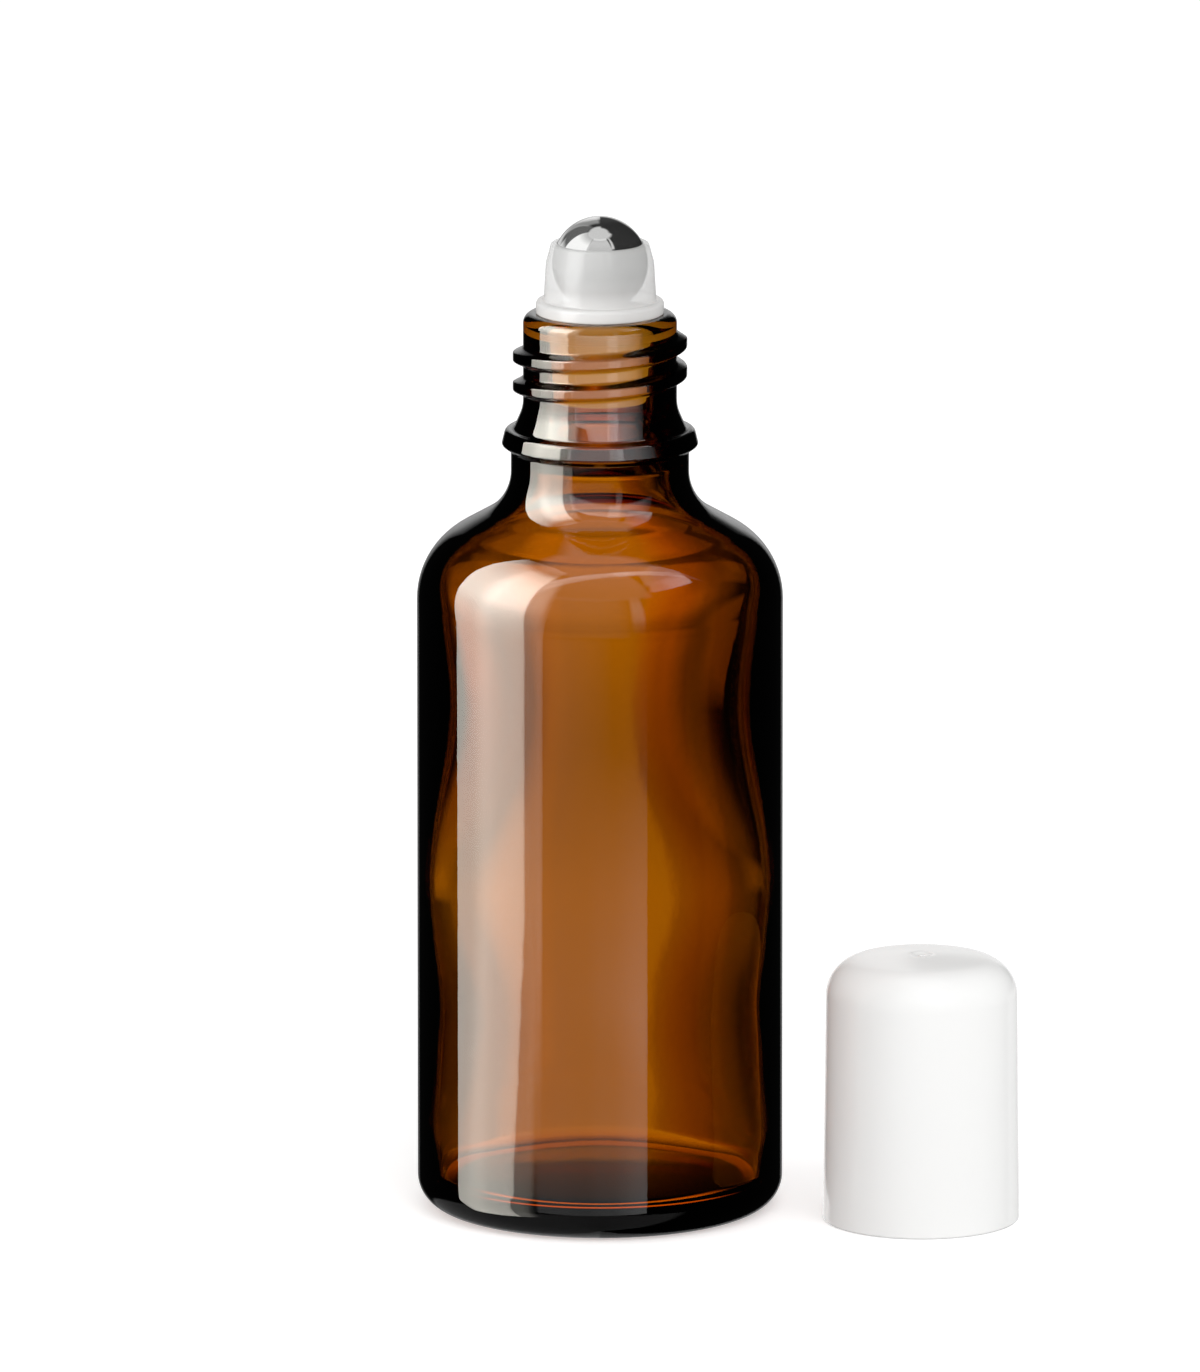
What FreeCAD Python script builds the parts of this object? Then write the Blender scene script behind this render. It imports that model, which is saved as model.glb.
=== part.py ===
import FreeCAD, Part
import math
import os

from FreeCAD import Vector

# A 50 ml glass roll on bottle with its cap standing beside it, in mm.
# The origin is the middle of the bottle's foot, +Z is up and the viewer looks along +Y.

# Bottle body, outside
bottle_height = 92.1
body_diameter = 37.0
foot_rounding = 3.3
foot_ring_radius = 13.4
push_up_depth = 0.6
shoulder_slope_deg = 29.7
shoulder_rounding = 8.4
neck_foot_rounding = 4.9

# Bottle wall and inside
glass_wall = 2.0
floor_thickness = 3.2
floor_rounding = 1.3
floor_crown = 0.5
finish_bore_radius = 5.4
bore_length = 12.2
bore_rounding = 1.4

# Neck, from the top of the shoulder up to the lip
lower_neck_radius = 8.99
lower_neck_length = 4.92
finish_height = 14.1
collar_underside_rise = 0.7
collar_radius = 9.93
collar_top_radius = 9.55
collar_face_height = 1.55
collar_top_crown = 0.05
collar_edge_rounding = 0.25
collar_top_rounding = 0.55
collar_root_rounding = 0.15
flare_radius = 8.7
flare_height = 2.2
flare_rounding = 3.9
neck_radius = 7.76
lip_rounding = 1.0

# Glass screw thread, right handed
thread_pitch = 3.0
thread_crest_radius = 8.8
bead_root_height = 1.7
bead_crest_height = 1.1
bead_rounding = 0.5
bead_depth_at_left = 4.44
bead_low_end_deg = -204.0
bead_high_end_deg = 384.0
bead_run_out_deg = 24.0
thread_sink = 0.6

# Steel ball
ball_diameter = 9.525
ball_rise = 5.1

# Roller housing, one soft moulding that is pressed into the neck
socket_clearance = 0.08
flange_step = 0.77
flange_thickness = 1.4
flange_top_rounding = 0.45
flange_edge_rounding = 0.2
dome_lean = 0.22
dome_wall = 0.62
dome_foot_rounding = 0.2
dome_shoulder_height = 5.2
dome_shoulder_rounding = 3.4
rim_wall = 0.56
rim_height = 7.2
rim_rounding = 0.3
sleeve_length = 8.8
sleeve_clearance = 0.15
sleeve_taper = 0.62
sleeve_wall = 0.85
sleeve_end_rounding = 0.3
seal_interference = 0.04
seal_depth = 1.9
seal_height = 1.4
seal_land_height = 0.6
seal_rounding = 0.25
neck_groove_depth = 0.3
neck_groove_height = 0.5
seat_floor_thickness = 1.1
feed_hole_radius = 2.2
feed_groove_count = 4
feed_groove_length = 3.4
feed_groove_width = 0.8
feed_groove_depth = 0.5

# Cap
cap_height = 27.36
cap_wall = 0.96
cap_outside_taper = 0.29
cap_crown_radius = 55.0
cap_top_rounding = 3.9
cap_rim_rounding = 0.3
cap_thread_clearance = 0.18
cap_mouth_widening = 0.1
cap_mouth_length = 2.2
cap_mouth_edge = 0.15
cap_bore_taper = 0.38
cap_ceiling = 1.3
cap_ceiling_rounding = 2.6
cap_x = 32.5
cap_y = -6.4
gate_dimple_radius = 1.1
gate_dimple_depth = 0.25
gate_pip_radius = 0.35
gate_pip_height = 0.15
ridge_depth = 0.78
ridge_root_height = 1.3
ridge_crest_height = 0.6
ridge_rounding = 0.25
ridge_turns = 1.5
ridge_run_out_deg = 24.0
ridge_play = 0.2
cap_gap_above_collar = 0.2
boss_radius = 3.2
boss_wall = 0.8
boss_gap_above_ball = 0.05

# How far a cutting tool reaches past what it cuts
overrun = 1.0

# Worked out from the sizes above
body_radius = body_diameter / 2
ball_radius = ball_diameter / 2
ball_height = bottle_height + ball_rise
socket_radius = ball_radius + socket_clearance
rim_bore_radius = math.sqrt(socket_radius ** 2 - (rim_height - ball_rise) ** 2)
dome_shoulder_radius = socket_radius + dome_wall
dome_foot_radius = dome_shoulder_radius + dome_lean
flange_radius = dome_foot_radius + flange_step
sleeve_top_radius = finish_bore_radius - sleeve_clearance
sleeve_end_radius = sleeve_top_radius - sleeve_taper
cap_bore_radius = thread_crest_radius + cap_thread_clearance
cap_mouth_bore_radius = cap_bore_radius + cap_mouth_widening
cap_bore_top_radius = cap_bore_radius - cap_bore_taper
cap_mouth_radius = cap_bore_radius + cap_wall
cap_top_radius = cap_mouth_radius - cap_outside_taper
ridge_crest_radius = cap_bore_radius - ridge_depth
collar_underside_height = bottle_height - finish_height
collar_edge_height = collar_underside_height + collar_underside_rise
collar_top_height = collar_edge_height + collar_face_height
flare_top_height = collar_top_height + flare_height
cap_closed_height = collar_top_height + cap_gap_above_collar
slope = math.radians(shoulder_slope_deg)
shoulder_top_height = collar_underside_height - lower_neck_length
shoulder_height = shoulder_top_height - (body_radius - lower_neck_radius) * math.tan(slope)
bead_height_at_zero = bottle_height - bead_depth_at_left - thread_pitch / 2


def rounding_arc(before, corner, after, rounding):
    """The arc that rounds a corner between two straight lines."""
    back = (before - corner).normalize()
    on = (after - corner).normalize()
    half_angle = back.getAngle(on) / 2
    reach = rounding / math.tan(half_angle)
    middle = (back + on).normalize()
    centre = corner + middle * (rounding / math.sin(half_angle))
    return Part.Arc(corner + back * reach, centre - middle * rounding, corner + on * reach)


def outline_face(corners):
    """A closed face in the XZ plane from corners of (radius, height) or (radius, height, rounding)."""
    places = [Vector(corner[0], 0, corner[1]) for corner in corners]
    starts, ends, arcs = [], [], []
    for i, corner in enumerate(corners):
        if len(corner) > 2:
            arc = rounding_arc(places[i - 1], places[i], places[(i + 1) % len(places)], corner[2])
            arcs.append(arc.toShape())
            starts.append(arc.StartPoint)
            ends.append(arc.EndPoint)
        else:
            arcs.append(None)
            starts.append(places[i])
            ends.append(places[i])
    edges = []
    for i, arc in enumerate(arcs):
        if arc:
            edges.append(arc)
        edges.append(Part.makeLine(ends[i], starts[(i + 1) % len(starts)]))
    return Part.Face(Part.Wire(edges))


def turned(corners):
    """A solid of revolution about +Z."""
    return outline_face(corners).revolve(Vector(0, 0, 0), Vector(0, 0, 1), 360)


def ball(radius, height):
    return Part.makeSphere(radius, Vector(0, 0, height))


def around_axis(shape, degrees):
    copy = shape.copy()
    copy.rotate(Vector(0, 0, 0), Vector(0, 0, 1), degrees)
    return copy


def round_point(radius, degrees, height):
    angle = math.radians(degrees)
    return Vector(radius * math.cos(angle), radius * math.sin(angle), height)


def run_out_tool(crest, root, crest_deg, root_deg, height, reach):
    """A block that shaves a thread away, from its whole crest at one angle to its root at another."""
    away = reach if crest > root else -reach
    low = height - thread_pitch / 2
    corners = [
        round_point(crest, crest_deg, low),
        round_point(root, root_deg, low),
        round_point(root + away, root_deg, low),
        round_point(crest + away, crest_deg, low),
    ]
    return Part.Face(Part.makePolygon(corners + corners[:1])).extrude(Vector(0, 0, thread_pitch))


def thread(root, crest, root_height, crest_height, rounding, ends_deg, run_out_deg, height_at_zero):
    """One helical ridge that rises from the root radius to the crest radius and fades out at both ends."""
    sunk = root - thread_sink if crest > root else root + thread_sink
    low_end, high_end = ends_deg
    section = outline_face([
        (sunk, -root_height / 2),
        (crest, -crest_height / 2, rounding),
        (crest, crest_height / 2, rounding),
        (sunk, root_height / 2),
    ])
    path = Part.makeHelix(thread_pitch, thread_pitch * (high_end - low_end) / 360, root)
    ridge = Part.Wire(path.Edges).makePipeShell([section.OuterWire], True, True)
    ridge = around_axis(ridge, low_end)
    ridge.translate(Vector(0, 0, height_at_zero + thread_pitch * low_end / 360))
    for end_deg, inwards in ((low_end, 1), (high_end, -1)):
        height = height_at_zero + thread_pitch * end_deg / 360
        full_deg = end_deg + inwards * run_out_deg
        reach = abs(crest - root) + overrun
        ridge = ridge.cut(run_out_tool(crest, root, full_deg, end_deg, height, reach))
    return ridge


def bottle_outside():
    solid = turned([
        (0, 0),
        (body_radius, 0, foot_rounding),
        (body_radius, shoulder_height, shoulder_rounding),
        (lower_neck_radius, shoulder_top_height, neck_foot_rounding),
        (lower_neck_radius, collar_underside_height, collar_root_rounding),
        (collar_radius, collar_edge_height, collar_edge_rounding),
        (collar_top_radius, collar_top_height, collar_top_rounding),
        (flare_radius, collar_top_height + collar_top_crown),
        (neck_radius, flare_top_height, flare_rounding),
        (neck_radius, bottle_height, lip_rounding),
        (0, bottle_height),
    ])
    # the push up is a shallow round hollow inside the ring that the bottle stands on
    dish_radius = (foot_ring_radius ** 2 + push_up_depth ** 2) / (2 * push_up_depth)
    return solid.cut(ball(dish_radius, push_up_depth - dish_radius))


def bottle_inside():
    # the inner wall follows the outer one, square to it by the wall's thickness
    drop = glass_wall * (1 - math.sin(slope)) / math.cos(slope)
    inner_radius = body_radius - glass_wall
    inner_neck_radius = lower_neck_radius - glass_wall
    inner_neck_foot_rounding = neck_foot_rounding + glass_wall
    inner_neck_foot_end = (
        shoulder_top_height - drop + inner_neck_foot_rounding * math.tan((math.pi / 2 - slope) / 2)
    )
    bore_end_height = bottle_height - bore_length
    hollow = turned([
        (0, floor_thickness),
        (inner_radius, floor_thickness, floor_rounding),
        (inner_radius, shoulder_height - drop, shoulder_rounding - glass_wall),
        (inner_neck_radius, shoulder_top_height - drop, inner_neck_foot_rounding),
        (inner_neck_radius, inner_neck_foot_end + bore_rounding / 2, bore_rounding),
        (finish_bore_radius, bore_end_height, bore_rounding),
        (finish_bore_radius, bottle_height + overrun),
        (0, bottle_height + overrun),
    ])
    # the floor is crowned a little over the push up
    crown_reach = inner_radius - floor_rounding
    crown_radius = (crown_reach ** 2 + floor_crown ** 2) / (2 * floor_crown)
    return hollow.cut(ball(crown_radius, floor_thickness + floor_crown - crown_radius))


def make_bottle():
    bead = thread(
        neck_radius, thread_crest_radius, bead_root_height, bead_crest_height, bead_rounding,
        (bead_low_end_deg, bead_high_end_deg), bead_run_out_deg, bead_height_at_zero,
    )
    return bottle_outside().fuse(bead).cut(bottle_inside())


def housing_outside():
    sleeve_end = bottle_height - sleeve_length
    dome_foot = bottle_height + flange_thickness
    seal_radius = finish_bore_radius + seal_interference
    return turned([
        (0, sleeve_end),
        (sleeve_end_radius, sleeve_end, sleeve_end_rounding),
        sleeve_point(seal_depth + seal_height / 2),
        (seal_radius, bottle_height - seal_depth - seal_land_height / 2, seal_rounding),
        (seal_radius, bottle_height - seal_depth + seal_land_height / 2, seal_rounding),
        sleeve_point(seal_depth - seal_height / 2),
        (sleeve_top_radius, bottle_height - neck_groove_height),
        (sleeve_top_radius - neck_groove_depth, bottle_height - neck_groove_height),
        (sleeve_top_radius - neck_groove_depth, bottle_height),
        (flange_radius, bottle_height, flange_edge_rounding),
        (flange_radius, dome_foot, flange_top_rounding),
        (dome_foot_radius, dome_foot, dome_foot_rounding),
        (dome_shoulder_radius, bottle_height + dome_shoulder_height, dome_shoulder_rounding),
        (rim_bore_radius + rim_wall, bottle_height + rim_height, rim_rounding),
        (0, bottle_height + rim_height),
    ])


def sleeve_point(depth):
    """A point on the sleeve's outside, which tapers to its end, at a depth below the lip."""
    share_down = (depth - neck_groove_height) / (sleeve_length - neck_groove_height)
    radius = sleeve_top_radius - share_down * (sleeve_top_radius - sleeve_end_radius)
    return radius, bottle_height - depth


def housing_inside():
    sleeve_end = bottle_height - sleeve_length
    seat_bottom = ball_height - math.sqrt(socket_radius ** 2 - feed_hole_radius ** 2)
    hollow_top = seat_bottom - seat_floor_thickness
    hollow = turned([
        (0, sleeve_end - overrun),
        (sleeve_end_radius - sleeve_wall, sleeve_end - overrun),
        (sleeve_end_radius - sleeve_wall, sleeve_end),
        (sleeve_top_radius - neck_groove_depth - sleeve_wall, hollow_top, sleeve_wall),
        (0, hollow_top),
    ])
    feed_hole = Part.makeCylinder(feed_hole_radius, ball_height - hollow_top, Vector(0, 0, hollow_top))
    grooves = [feed_groove(i * 360 / feed_groove_count) for i in range(feed_groove_count)]
    return ball(socket_radius, ball_height).fuse([hollow, feed_hole] + grooves)


def feed_groove(degrees):
    """A narrow channel in the seat that lets the liquid past the ball, concentric with the socket."""
    groove = ball(socket_radius + feed_groove_depth, ball_height)
    low = ball_height - socket_radius - feed_groove_depth
    slot = Part.makeBox(
        feed_groove_length, feed_groove_width, socket_radius, Vector(0, -feed_groove_width / 2, low),
    )
    return around_axis(groove.common(slot), degrees)


def make_roller_housing():
    return housing_outside().cut(housing_inside())


def make_roller_ball():
    return ball(ball_radius, ball_height)


def cap_outside():
    # the top is part of a large sphere, rounded into a wall that leans in for the mould
    blank = turned([
        (0, 0),
        (cap_mouth_radius, 0, cap_rim_rounding),
        (cap_top_radius, cap_height),
        (0, cap_height),
    ])
    crowned = blank.common(ball(cap_crown_radius, cap_height - cap_crown_radius))
    top_edges = [edge for edge in crowned.Edges if is_top_edge(edge)]
    rounded = crowned.makeFillet(cap_top_rounding, top_edges)
    dimple_radius = (gate_dimple_radius ** 2 + gate_dimple_depth ** 2) / (2 * gate_dimple_depth)
    dimple = ball(dimple_radius, cap_height - gate_dimple_depth + dimple_radius)
    pip_foot = cap_height - gate_dimple_depth - gate_pip_height
    pip = Part.makeCylinder(gate_pip_radius, 2 * gate_pip_height, Vector(0, 0, pip_foot))
    return rounded.cut(dimple).fuse(pip)


def is_top_edge(edge):
    """True for the circle where the crowned top meets the wall."""
    box = edge.BoundBox
    return box.ZMin > cap_height / 2 and box.ZLength < overrun and box.XLength > cap_top_radius


def cap_inside():
    ceiling = cap_height - cap_ceiling
    return turned([
        (0, -overrun),
        (cap_mouth_bore_radius, -overrun),
        (cap_mouth_bore_radius, cap_mouth_length),
        (cap_bore_radius, cap_mouth_length + cap_mouth_edge),
        (cap_bore_top_radius, ceiling, cap_ceiling_rounding),
        (0, ceiling),
    ])


def cap_boss():
    """The short tube under the ceiling whose end holds the ball down when the cap is closed."""
    ceiling = cap_height - cap_ceiling
    boss_bore = boss_radius - boss_wall
    ball_at_bore = ball_height + math.sqrt((ball_radius + boss_gap_above_ball) ** 2 - boss_bore ** 2)
    boss_end = ball_at_bore - cap_closed_height
    return turned([
        (boss_bore, boss_end),
        (boss_radius, boss_end, boss_wall / 4),
        (boss_radius, ceiling + cap_ceiling / 2),
        (boss_bore, ceiling + cap_ceiling / 2),
    ])


def make_cap():
    # when the cap is closed its ridge lies just under the glass bead
    bead_to_ridge = thread_pitch / 2 - ridge_play
    height_at_zero = bead_height_at_zero - bead_to_ridge - cap_closed_height
    ridge_start_height = cap_mouth_length + cap_mouth_edge + ridge_root_height / 2
    low_end_deg = (ridge_start_height - height_at_zero) * 360 / thread_pitch
    ridge = thread(
        cap_bore_radius, ridge_crest_radius, ridge_root_height, ridge_crest_height, ridge_rounding,
        (low_end_deg, low_end_deg + 360 * ridge_turns), ridge_run_out_deg, height_at_zero,
    )
    cap = cap_outside().cut(cap_inside()).fuse([ridge, cap_boss()])
    cap.translate(Vector(cap_x, cap_y, 0))
    return cap


pieces = {
    "bottle": make_bottle,
    "roller_housing": make_roller_housing,
    "roller_ball": make_roller_ball,
    "cap": make_cap,
}

os.makedirs("parts", exist_ok=True)
for name, make in pieces.items():
    shape = make()
    box = shape.BoundBox
    print(name, "solids", len(shape.Solids), "valid", shape.isValid(), "volume", round(shape.Volume, 1),
          "low", [round(v, 2) for v in (box.XMin, box.YMin, box.ZMin)],
          "high", [round(v, 2) for v in (box.XMax, box.YMax, box.ZMax)])
    shape.exportStep("parts/" + name + ".step")
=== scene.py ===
import math

import bpy
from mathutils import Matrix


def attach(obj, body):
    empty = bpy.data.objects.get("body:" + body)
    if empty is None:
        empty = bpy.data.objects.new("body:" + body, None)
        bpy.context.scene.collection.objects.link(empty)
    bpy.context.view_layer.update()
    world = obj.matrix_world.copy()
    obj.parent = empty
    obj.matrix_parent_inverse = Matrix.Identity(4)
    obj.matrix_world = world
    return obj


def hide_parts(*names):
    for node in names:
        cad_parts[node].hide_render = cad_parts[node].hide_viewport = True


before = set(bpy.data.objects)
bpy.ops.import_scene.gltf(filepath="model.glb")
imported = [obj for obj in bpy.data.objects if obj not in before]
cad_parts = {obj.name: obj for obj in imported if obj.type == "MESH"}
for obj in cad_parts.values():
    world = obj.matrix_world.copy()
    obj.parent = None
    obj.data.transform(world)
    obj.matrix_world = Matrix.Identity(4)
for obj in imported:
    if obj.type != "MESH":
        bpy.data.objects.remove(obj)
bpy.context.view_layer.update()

MM = 0.001
SEGMENTS = 200
ARC_STEP_DEG = 5.0
# the least step in an outline, in mm
hair = 0.01

# The bottle, outside
bottle_height = 92.1
body_radius = 18.485
foot_rounding = 3.3
foot_ring_radius = 13.4
push_up_depth = 0.6
shoulder_slope = math.radians(29.7)
shoulder_rounding = 8.4
neck_foot_rounding = 4.9

# The bottle's wall and inside
glass_wall = 2.0
floor_thickness = 3.2
floor_rounding = 1.3
floor_crown = 0.5
bore_radius = 5.4
bore_length = 12.2
bore_rounding = 1.4

# The neck
lower_neck_radius = 8.99
lower_neck_length = 4.92
finish_height = 14.1
collar_underside_rise = 0.7
collar_radius = 9.93
collar_top_radius = 9.55
collar_face_height = 1.55
collar_top_crown = 0.05
collar_edge_rounding = 0.25
collar_top_rounding = 0.55
collar_root_rounding = 0.15
flare_radius = 8.7
flare_foot_rounding = 0.5
flare_height = 2.2
flare_rounding = 3.9
neck_radius = 7.76
lip_rounding = 1.0

# The glass thread
thread_pitch = 3.0
thread_depth = 1.04
bead_crest_width = 0.7
bead_root_width = 2.1
bead_height_at_zero = 86.16
bead_low_end_deg = -204.0
bead_high_end_deg = 384.0
bead_run_out_deg = 24.0
bead_wall_margin = 1.0
thread_row = 0.07
wall_row = 1.0

# The ball and its housing
ball_radius = 4.7625
ball_height = bottle_height + 5.1
socket_radius = ball_radius + 0.08
flange_thickness = 1.4
flange_top_rounding = 0.45
flange_edge_rounding = 0.2
dome_shoulder_radius = socket_radius + 0.62
dome_foot_radius = dome_shoulder_radius + 0.22
dome_foot_rounding = 0.2
flange_radius = dome_foot_radius + 0.77
dome_shoulder_height = 5.2
dome_shoulder_rounding = 3.4
rim_height = 7.2
rim_wall = 0.56
rim_rounding = 0.3
sleeve_length = 8.8
sleeve_top_radius = bore_radius - 0.15
sleeve_end_radius = sleeve_top_radius - 0.62
sleeve_wall = 0.85
sleeve_end_rounding = 0.3
seal_radius = bore_radius + 0.04
seal_depth = 1.9
seal_height = 1.4
seal_land_height = 0.6
seal_rounding = 0.25
neck_groove_depth = 0.3
neck_groove_height = 0.5
seat_floor_thickness = 1.1
feed_hole_radius = 2.2

# The cap
cap_centre = (32.5, -6.4)
cap_height = 27.36
cap_mouth_radius = 9.94
cap_top_radius = 9.65
cap_crown_radius = 55.0
cap_top_rounding = 3.9
cap_rim_rounding = 0.3
cap_mouth_bore_radius = 9.08
cap_bore_radius = 8.98
cap_bore_top_radius = 8.6
cap_mouth_length = 2.2
cap_mouth_edge = 0.15
cap_ceiling = 1.3
cap_ceiling_rounding = 2.6
gate_dimple_radius = 1.1
gate_dimple_depth = 0.25
gate_pip_radius = 0.35
gate_pip_height = 0.15
boss_radius = 3.2
boss_wall = 0.8
boss_end = 20.92
ridge_depth = 0.78
ridge_crest_width = 0.4
ridge_root_width = 1.5
ridge_turns = 1.5
ridge_wall_margin = 0.1
# the closed cap: its gap above the collar, and its ridge above the middle between two turns of the bead
cap_gap_above_collar = 0.2
ridge_above_middle = 0.2

# Worked out from the sizes above
collar_underside = bottle_height - finish_height
collar_edge = collar_underside + collar_underside_rise
collar_top = collar_edge + collar_face_height
flare_top = collar_top + flare_height
shoulder_top = collar_underside - lower_neck_length
shoulder_corner = shoulder_top - (body_radius - lower_neck_radius) * math.tan(shoulder_slope)
cap_closed_height = collar_top + cap_gap_above_collar


def linear(code):
    """The linear colour of an sRGB hex code."""
    shares = [int(code[i:i + 2], 16) / 255 for i in (1, 3, 5)]
    return tuple(c / 12.92 if c <= 0.04045 else ((c + 0.055) / 1.055) ** 2.4 for c in shares) + (1.0,)


def add(tree, kind, inputs=(), **settings):
    """Adds a node with its settings, and sets its inputs, by name or number, to a value or another socket."""
    node = tree.nodes.new(kind)
    for name, value in settings.items():
        setattr(node, name, value)
    for socket, value in dict(inputs).items():
        if isinstance(value, bpy.types.NodeSocket):
            tree.links.new(value, node.inputs[socket])
        else:
            node.inputs[socket].default_value = value
    return node


def rounded(before, corner, after, rounding):
    """Points on the arc that rounds a corner of an outline, from the line before it to the line after it."""
    back = (before[0] - corner[0], before[1] - corner[1])
    on = (after[0] - corner[0], after[1] - corner[1])
    back_angle, on_angle = math.atan2(back[1], back[0]), math.atan2(on[1], on[0])
    opening = (on_angle - back_angle + math.pi) % (2 * math.pi) - math.pi
    middle = back_angle + opening / 2
    centre_reach = rounding / math.sin(abs(opening) / 2)
    centre = (corner[0] + centre_reach * math.cos(middle), corner[1] + centre_reach * math.sin(middle))
    turn = math.pi - abs(opening)
    steps = max(2, math.ceil(math.degrees(turn) / ARC_STEP_DEG))
    points = []
    for i in range(steps + 1):
        angle = middle + math.pi + math.copysign(turn, opening) * (0.5 - i / steps)
        points.append((centre[0] + rounding * math.cos(angle), centre[1] + rounding * math.sin(angle)))
    return points


def outline(corners):
    """Points along an outline from corners of (radius, height) or (radius, height, rounding)."""
    points = []
    for i, corner in enumerate(corners):
        if len(corner) > 2:
            after = corners[(i + 1) % len(corners)]
            points += rounded(corners[i - 1], corner, after, corner[2])
        else:
            points.append(corner)
    return points


def between(low, high, step):
    """Points of a straight run of an outline, evenly spaced, without its two ends."""
    length = math.dist(low, high)
    count = max(1, round(length / step))
    return [tuple(a + (b - a) * i / count for a, b in zip(low, high)) for i in range(1, count)]


def dome(radius, edge_height, rise, steps=12):
    """Points of a shallow round bulge or hollow, from its edge in to the axis."""
    sphere = (radius ** 2 + rise ** 2) / (2 * abs(rise))
    up = math.copysign(1, rise)
    reach = math.asin(radius / sphere)
    angles = [reach * (1 - i / steps) for i in range(1, steps)]
    points = [(sphere * math.sin(a), edge_height + rise - up * sphere * (1 - math.cos(a))) for a in angles]
    return points + [(0.0, edge_height + rise)]


def turned(name, points, closed=False, reshape=None, centre=(0.0, 0.0)):
    """A smooth mesh, in metres, from an outline in mm turned round an upright axis."""
    vertices, rings = [], []
    for radius, height in points:
        if radius == 0:
            rings.append([len(vertices)] * SEGMENTS)
            vertices.append((centre[0] * MM, centre[1] * MM, height * MM))
            continue
        rings.append(range(len(vertices), len(vertices) + SEGMENTS))
        for i in range(SEGMENTS):
            angle = 2 * math.pi * i / SEGMENTS
            r = reshape(radius, height, angle) if reshape else radius
            x, y = centre[0] + r * math.cos(angle), centre[1] + r * math.sin(angle)
            vertices.append((x * MM, y * MM, height * MM))
    faces = []
    pairs = list(zip(rings, rings[1:] + rings[:1])) if closed else list(zip(rings, rings[1:]))
    for below, above in pairs:
        for i in range(SEGMENTS):
            j = (i + 1) % SEGMENTS
            face = (below[i], below[j], above[j], above[i])
            faces.append(tuple(dict.fromkeys(face)))
    mesh = bpy.data.meshes.new(name)
    mesh.from_pydata(vertices, [], faces)
    mesh.validate()
    mesh.shade_smooth()
    piece = bpy.data.objects.new(name, mesh)
    bpy.context.scene.collection.objects.link(piece)
    return piece


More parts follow.
